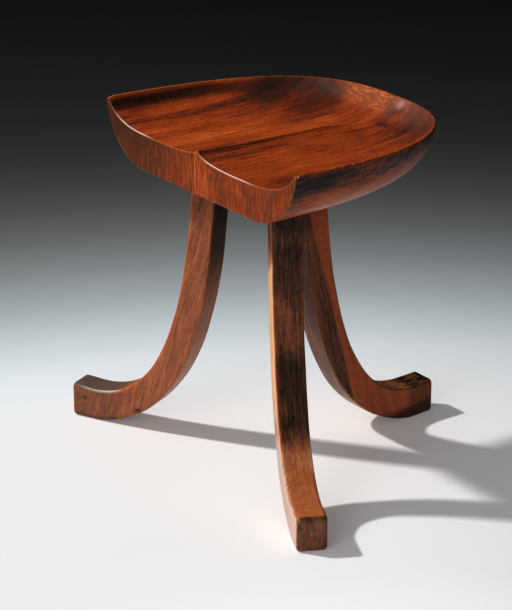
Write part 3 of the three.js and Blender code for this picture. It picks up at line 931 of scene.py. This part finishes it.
def seat_wood(name, side):
    """A seat board: figure where this stool has it, gold flakes on the back wall, stains outside,
    a pale rim and front edge, worn and with painted highlights, and a lower outside painted paler
    as a reflection of the floor. The wax is dull on the back wall and bright in its dent."""
    w = Wood(name, SEAT_TONES)
    x, y, z = w.x, w.y, w.z
    inset, worn = w.attribute_number("inset"), w.attribute_number("worn")
    outside = inset.fade(-0.8, 0.2)
    front = (y - FRONT_Y).fade(0.3, 1.2)
    back_face = 1.0 - front
    calm = 1.0 - inset.fade(14, 42) * (y.ramp(20, 80) * 0.45 + 0.35)
    shade = ((w.streak - 0.5) * 0.5 * FIGURE[side] + (w.fine - 0.5) * 0.85) * calm + 0.5
    shade = shade + (w.mottle - 0.5) * 0.45 * FIGURE[side] + (w.blotch - 0.5) * 0.3
    top = left_top(w, x, y, inset) if side < 0 else right_top(w, x, y, inset)
    flake = w.patches(w.grain, (9, 2.4, 12), 3.0, 0.6)
    gold = w.band(x, -66, 2, 10) * y.ramp(97, 107)
    top = top + gold * (flake - 0.45) * 1.1
    from_crest = x + y.ramp(103, 123) * 9.0
    top = top + w.band(from_crest, -1.7, 0.3, 0.5) * w.band(y, -130, 124, 12) * 0.2
    # painted light: a lighter band just right of the crest, over the shade of its steep flank
    top = top + w.band(from_crest, 0.8, 4.5, 0.8) * w.band(y, -30, 100, 20) * 0.13
    shade = shade + back_face * ((1.0 - outside) * top + outside * bowl_side(w, y, -inset))
    shade = shade + front * front_face(w, x, z)
    broken = w.patches(w.grain, (5, 6, 5), 3.0, 0.7).ramp(0.4, 0.62)
    # painted highlight: a thin pale line along the lit rim, broken in places
    rim_highlight = w.band(inset, 0.4, 2.1, 0.5) * back_face * (broken * 0.6 + RIM_HIGHLIGHT_PALENESS[side])
    bright = w.band(x, -156, -92, 14) + w.band(x, 8, 96, 14)
    # the front edge: worn wood with a painted highlight, near white where bright
    arris = worn * (bright * 0.6 + 0.3) * (z.ramp(334, 350) * 0.7 + 0.3)
    # painted reflection of the bright floor: the lower outside is painted paler
    low = outside * back_face * inset.fade(-58, -28)
    edges = [
        (low * 0.32, "cc7f46"),
        (gold * 0.4, "a8601a"),
        (gold * flake.ramp(0.54, 0.64) * 0.3, "d99c5c"),
        (front * 0.34, "8f470e"),
        (rim_highlight, "ea8f4c"),
        (arris, w.mix(bright.clamp(), "dc9a56", "fbe3da"))]
    if side > 0:
        # a chipped front corner with a painted glint on it
        tip_chip_and_glint = w.spot(x, y, 172, -145, 3, 3) * broken * back_face * inset.ramp(-1.0, 0.5)
        edges.append((tip_chip_and_glint, "ffe6da"))
    else:
        smudge = w.spot(x, y, -96, 82, 44, 30) * (1.0 - outside)
        edges.insert(0, (smudge * 0.4, "6a2c0c"))
    dent = w.spot(x, y, DENT_X, DENT_Y, 10, 9)
    rear = y.ramp(92, 104) * (1.0 - dent)
    rough = 0.44 + (w.fine - 0.5) * 0.15 + w.pore * 0.1 + outside * 0.06 + front * 0.25
    rough = rough + rear * 0.24 - dent * 0.07
    coat = (1.0 - rear) * back_face * 0.15 + low * 0.3
    return w.finish(shade, edges, rough, coat, SEAT_GLOSS)


class LegWood(Wood):
    """A leg's hardwood, with masks of its outer, inner and left faces and of the toe's end. Along
    runs from the seat to the toe, thick from the inner face to the outer."""

    def __init__(self, name, start):
        super().__init__("leg hardwood " + name, LEG_TONES, LEG_SLANT, start, LEG_GRAIN_DEPTH)
        self.path = self.attribute("path")
        self.wide, self.along, self.thick = self.parts(self.path)
        self.worn = self.attribute_number("worn")
        self.end = self.along.ramp(LEG_RUN - 3.5, LEG_RUN - 1.0)
        self.outer = self.thick.ramp(14.5, 16.5) * (1.0 - self.end)
        self.inner = self.thick.fade(-16.5, -14.5) * (1.0 - self.end)
        self.left = self.wide.fade(-16.4, -15.0) * (1.0 - self.outer) * (1.0 - self.end)
        self.stain = self.patches(self.grain, (9, 9, 9), 4.0, 0.65)


NEAR_LEG_BANDS = [  # start and end along the leg, softness, and how much lighter its outside is
    (65, 185, 18, 0.12), (50, 110, 12, -0.1), (185, 240, 15, -0.06), (258, 296, 9, -0.08)]


def near_leg(w):
    """Near black outside down to the knee, a painted shadow of the seat, and orange-brown below,
    where it is painted lit; gold on its left face, painted light where the lamp falls on it, which
    is browner and, as a painted reflection of the floor, paler towards the foot; painted glints on
    its edges near the foot; the toe's end brown, dark along its top and right."""
    wide, along, thick, worn = w.wide, w.along, w.thick, w.worn
    lines = w.patches(w.path, (2.6, 70, 9), 3.0)
    ripple = w.patches(w.path, (14, 2.2, 20))
    # painted shadow of the seat on the outside down to the knee, painted lit below it
    low = along.ramp(255, 322)
    outside = (lines - 0.5) * 0.35 + (w.stain - 0.5) * 0.3 - (1.0 - low) * 0.27 + low * 0.22
    for start, end, soft, lighter in NEAR_LEG_BANDS:
        outside = outside + w.band(along, start, end, soft) * lighter
    outside = outside - along.fade(25, 45) * 0.12 - along.ramp(362, 385) * 0.05
    outside = outside + along.ramp(350, 372) * (ripple - 0.5) * 0.35
    # painted light: the left face is gold where the lamp falls on it, darker at its top by the seat
    left = along.ramp(45, 75) * 0.53 + thick.ramp(-6, 8) * 0.16 - along.ramp(190, 270) * 0.2 - 0.12
    toe = (lines - 0.5) * 0.2 + (w.stain - 0.5) * 0.3 - 0.13
    rim = (thick.ramp(15.2, 16.2) + wide.ramp(14.8, 16.2)).clamp() * along.ramp(LEG_RUN - 3.5, LEG_RUN - 2.0)
    shade = w.outer * outside + w.left * left + w.end * toe - rim * 0.1
    # painted reflection of the bright floor on the lower left face
    pale = w.left * along.ramp(200, 300) * thick.fade(2, 13)
    right_edge = worn * wide.ramp(11, 14) * thick.ramp(12, 15)
    left_edge = worn * wide.fade(-14, -11) * thick.ramp(12, 15)
    corner = w.spot(wide, thick, -14.5, 15.5, 2, 1.6) * along.ramp(412, 417)
    return shade, [
        (w.outer * along.ramp(310, 330) * (w.mottle * 0.3 + 0.2), "b85a28"),
        # painted reflection of the floor, in two pale tones
        (pale * (w.fine * 0.3 + 0.42), "ab9484"),
        (w.left * along.ramp(330, 380) * 0.3, "bb9a86"),
        (worn * 0.3, "c9824e"),
        (left_edge * w.band(along, 190, 300, 20) * 0.8, "dd6a30"),
        # painted glints: white flecks along the left edge, and a pale highlight on the right edge above the
        # foot
        (left_edge * w.band(along, 300, 400, 15) * w.fine.ramp(0.4, 0.55) * 0.8, "fff0e6"),
        (right_edge * w.band(along, 285, 328, 8) * 0.9, "ffe6cf"),
        (right_edge * along.ramp(328, 345) * 0.8, "1e130d"),
        # pale wear with a painted glint at the toe's corner
        (corner * w.fine.ramp(0.4, 0.6), "b8977c"),
        (w.end * 0.25, "7a5a48")]


def left_leg(w):
    """Red-brown, its outer edge bright orange, a painted highlight, its inner face near black at the
    top; two dark spots on the foot's side, a grey-brown top and a painted white glint on the foot."""
    wide, along, thick, worn = w.wide, w.along, w.thick, w.worn
    foot = along.ramp(330, 372)
    shade = w.inner * (along.fade(60, 170) * -0.42 + 0.03) - w.outer * foot * 0.2
    shade = shade - along.fade(45, 75) * 0.1 - foot * 0.07 - thick.fade(-17, -11) * foot * 0.2
    shade = shade - w.spot(along, thick, 402, 5, 3, 1.6) * 0.3 - w.spot(along, thick, 330, -13, 4, 2) * 0.3
    # painted highlight: the outer edge bright orange where the lamp catches it
    outer_edge = worn * thick.ramp(10, 14) * (1.0 - foot)
    inner_edge = worn * thick.fade(-14, -10) * w.band(along, 20, 330, 30)
    glint = worn * thick.ramp(14, 16) * wide.ramp(14, 16) * w.band(along, 350, 408, 10)
    return shade, [
        (worn * 0.25, "b9805a"),
        (outer_edge * 0.8, "f5803a"),
        (inner_edge * 0.35, "6e3a22"),
        (foot * 0.2, "80664f"),
        (w.outer * foot * 0.4, "8f8478"),
        (glint, "ffffff")]


LIT_LINE = 73.3  # where, in the back leg's grain coordinates, the painted lit stripe meets the painted cast shadow
SOLE_START, SOLE_RISE = 318.0, 0.2  # where its dark sole begins along the leg, and how it rises


def back_leg(w):
    """Painted light: lit orange along its outer edge, and a painted cast shadow, dark, beside that as
    far as the knee; a dark mottled top with gold figure on its foot, and a dark band that rises along
    the sole."""
    along, stain = w.along, w.stain
    foot = along.ramp(300, 335)
    # painted light and shadow: lit on one side of this slanting line, in cast shadow on the other
    lit = (w.z + w.y * LEG_SLANT - LIT_LINE).ramp(-1.5, 1.5)
    above = (lit * 0.32 - 0.2) + lit * (stain - 0.5) * 0.45 + w.y.ramp(150, 250) * (1.0 - lit) * 0.13
    shade = above * (1.0 - foot) + w.inner * 0.04 - w.inner * along.fade(90, 210) * 0.2
    shade = shade - along.fade(45, 85) * 0.22 - along.ramp(378, 404) * 0.16
    shade = shade + foot * (0.05 - along.ramp(372, 396) * (stain - 0.05) * 0.7 - w.y.fade(4, 19) * 0.5)
    shade = shade - w.outer * foot * ((stain - 0.45) * 0.8 + 0.14)
    sole = (w.y - (along - SOLE_START) * SOLE_RISE).fade(-4, 4) * foot * (1.0 - w.outer)
    figured = w.patches(w.path, (5, 15, 30), 3.0).ramp(0.46, 0.6)
    # orange on the painted lit stripe and on the foot
    warm = (lit + foot).clamp() * (1.0 - w.outer) * (1.0 - w.inner)
    return shade, [
        (w.worn * 0.25, "b9683a"),
        (warm * (w.fine * 0.5 + 0.2), "cf5f20"),
        (w.inner * (1.0 - foot) * 0.25, "8a7060"),
        (w.outer * foot * figured * 0.45, "a8742e"),
        (along.ramp(372, 400) * (1.0 - w.outer) * 0.5, "83573a"),
        (sole * (stain * 0.5 + 0.45), "301e14")]


LEG_MARKS_AND_PAINTED_LIGHT = {"front_left": left_leg, "front_right": near_leg, "back": back_leg}


def leg_wood(name, start):
    """A leg's wood: fine steep flecks, with this leg's own stains, painted light and painted shade,
    and its worn long edges with painted glints. The wax shines on the near leg's left face and on
    the other legs' inner faces."""
    w = LegWood(name, start)
    fleck = w.fibres((0.8, 8, 0.8)).ramp(0.58, 0.7)
    figure = (w.streak - 0.5) * 0.45 + (w.blotch - 0.5) * 0.25
    shade = figure * LEG_FIGURE[name] + (w.fine - 0.5) * 0.5 + (w.mottle - 0.5) * 0.2
    shade = shade - fleck * 0.13 + 0.51
    marks_and_painted_light, edges = LEG_MARKS_AND_PAINTED_LIGHT[name](w)
    rough = 0.52 + (w.fine - 0.5) * 0.15 + fleck * 0.1 + w.inner * 0.2
    rough = rough + w.outer * w.along.ramp(335, 385) * 0.2
    if name == "front_right":
        shine = w.left * w.along.ramp(150, 300) * 0.9
    else:
        shine = w.inner * w.along.ramp(60, 260) * 0.42
    return w.finish(shade + marks_and_painted_light, edges, rough, shine + 0.04, LEG_GLOSS)


def pale_wood():
    """Bare pale wood of the hidden wedges and dowels, on Object coordinates."""
    m = Recipe("bare pale wood")
    grain = m.patches(m.place_mm(), (3, 3, 14), 3.0)
    return m.surface({
        "Base Color": m.tone_of(grain, [(0.3, "8f6538"), (0.7, "c79c66")]),
        "Roughness": 0.6 + (grain - 0.5) * 0.2, "Normal": m.bump(grain, PALE_WOOD_RELIEF)})


seat_board(1, seat_wood("right board hardwood", 1))
seat_board(-1, seat_wood("left board hardwood", -1))
for number, leg in enumerate(LEG_PLACES):
    phase = FIRST_LEG_PHASE + LEG_PHASE_STEP * number
    swept_leg(leg, phase, leg_wood(leg, LEG_GRAIN_STEP * (number + 1)))

bare = pale_wood()
for name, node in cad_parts.items():
    if name.startswith(("tenon_wedge", "edge_dowel")):
        for slot in node.material_slots:
            slot.material = bare


# Camera, floor and light

AZIMUTH, ELEVATION, ROLL = 54.1041, 21.3015, -0.2007  # degrees
FOCAL_PIXELS = 2622.56
DISTANCE = 2902.7
AIM = np.array([RIDGE_X, -84.404, 197.72])
SHIFT_PIXELS = (-10.955, -6.711)
PICTURE_HEIGHT = 610
SENSOR = 36.0
FARTHEST_SEEN = 50.0  # metres

FLOOR_REACH = 14.0  # metres
FLOOR_CORNERS = 96
# the floor's glow, painted ambient light
FLOOR_GLOW = 0.22
FLOOR_CENTRE = (650.0, -350.0)  # millimetres, where the floor is brightest
FLOOR_TONES = [  # metres from there, and the share of the full tone: a painted falloff of light
    (0.0, 1.0), (0.31, 1.0), (0.42, 0.91), (0.53, 0.862), (0.8, 0.83), (0.94, 0.826),
    (1.02, 0.79), (1.11, 0.67), (1.23, 0.475), (1.35, 0.32), (1.48, 0.2), (1.6, 0.132),
    (1.72, 0.089), (1.84, 0.062), (2.0, 0.044), (2.26, 0.03), (2.7, 0.019)]
UNDER_STOOL = (100.0, 90.0)  # the middle of the patch where the floor's paint is lifted, painted light against the stool's shade
UNDER_REACH = 250.0
UNDER_LIFT = 0.2

LAMP_AIM = Vector((0, -0.03, 0.2))  # metres
LAMPS = [  # name, direction from the stool, distance and side in metres, watts, colour
    ("key", (-0.561, -0.463, 0.686), 3.26, 0.17, 88.0, (1.0, 0.98, 0.95)),
    ("fill", (0.35, -0.85, 0.35), 3.5, 2.0, 30.0, (1.0, 0.97, 0.93)),
    ("overhead", (-0.2, -0.4, 1.0), 3.5, 3.0, 10.0, (0.95, 0.98, 1.0))]
SKY_COLOUR, SKY_STRENGTH = (0.95, 0.97, 1.0, 1.0), 0.12


def place_camera():
    """A camera that looks from the photograph's side, with the view centre moved by the shift."""
    a, e, r = (math.radians(v) for v in (AZIMUTH, ELEVATION, ROLL))
    back = np.array([math.sin(a) * math.cos(e), -math.cos(a) * math.cos(e), math.sin(e)])
    right = np.array([math.cos(a), math.sin(a), 0.0])
    up = np.cross(back, right)
    right, up = (right * math.cos(r) + up * math.sin(r), up * math.cos(r) - right * math.sin(r))
    data = bpy.data.cameras.new("camera")
    data.sensor_width = SENSOR
    data.lens = FOCAL_PIXELS / PICTURE_HEIGHT * SENSOR
    data.shift_x = -SHIFT_PIXELS[0] / PICTURE_HEIGHT
    data.shift_y = SHIFT_PIXELS[1] / PICTURE_HEIGHT
    data.clip_end = FARTHEST_SEEN
    camera = bpy.data.objects.new("camera", data)
    place = np.eye(4)
    place[:3] = np.column_stack([right, up, back, (AIM + back * DISTANCE) * MM])
    camera.matrix_world = Matrix(place.tolist())
    bpy.context.scene.collection.objects.link(camera)
    bpy.context.scene.camera = camera


def area_light(name, direction, distance, side, power, colour):
    """A square lamp that far off in a direction from the middle of the stool, and facing it."""
    data = bpy.data.lights.new(name, "AREA")
    data.shape = "SQUARE"
    data.size = side
    data.energy = power
    data.color = colour
    lamp = bpy.data.objects.new(name, data)
    towards = Vector(direction).normalized()
    lamp.location = LAMP_AIM + towards * distance
    lamp.rotation_euler = towards.to_track_quat("Z", "Y").to_euler()
    bpy.context.scene.collection.objects.link(lamp)


def floor_paint():
    """Pale paint with a painted falloff of light into the dark, painted lighter under the stool, and a glow
    that is painted ambient light, as a lit table gives.
    """
    m = Recipe("pale studio floor")
    x, y = m.parts(m.place_mm())[:2]
    # painted light: the floor painted lighter under the stool, against its shade
    under = m.spot(x, y, *UNDER_STOOL, UNDER_REACH, UNDER_REACH) * UNDER_LIFT + 1.0
    x, y = x - FLOOR_CENTRE[0], y - FLOOR_CENTRE[1]
    away = (x * x + y * y) ** 0.5
    farthest = FLOOR_TONES[-1][0]
    stops = [(place / farthest, grey(tone)) for place, tone in FLOOR_TONES]
    fall = m.tone_of((away * MM / farthest).clamp(), stops)
    tint = m.mix(away.ramp(800, 1150), "f6f8fa", "f0f9ff")
    tint = m.mix(away.ramp(1300, 1600), tint, "f6faf6")
    colour = m.mix(1.0, tint, fall, "MULTIPLY")
    return m.surface({
        "Base Color": m.scale(colour, under), "Roughness": 0.8, "Emission Color": colour,
        "Emission Strength": FLOOR_GLOW, "Specular IOR Level": 0.1})


def studio_floor():
    """A large round sheet: the points of a circle, x = r cos a, y = r sin a, as one face."""
    turn = np.linspace(0, 2 * math.pi, FLOOR_CORNERS + 1)[:-1]
    circle = FLOOR_REACH * np.stack([np.cos(turn), np.sin(turn), np.zeros(FLOOR_CORNERS)], -1)
    mesh = bpy.data.meshes.new("studio_floor")
    mesh.from_pydata(circle.tolist(), [], [list(range(FLOOR_CORNERS))])
    mesh.materials.append(floor_paint())
    floor = bpy.data.objects.new("studio_floor", mesh)
    bpy.context.scene.collection.objects.link(floor)


def surroundings():
    """A dim even sky that isn't mirrored in the wax."""
    world = bpy.data.worlds.new("surroundings")
    world.use_nodes = True
    world.node_tree.nodes["Background"].inputs[0].default_value = SKY_COLOUR
    world.node_tree.nodes["Background"].inputs[1].default_value = SKY_STRENGTH
    world.cycles_visibility.glossy = False
    bpy.context.scene.world = world


place_camera()
studio_floor()
surroundings()
for lamp in LAMPS:
    area_light(*lamp)
bpy.context.scene.view_settings.view_transform = "Standard"
bpy.context.scene.view_settings.gamma = 0.75
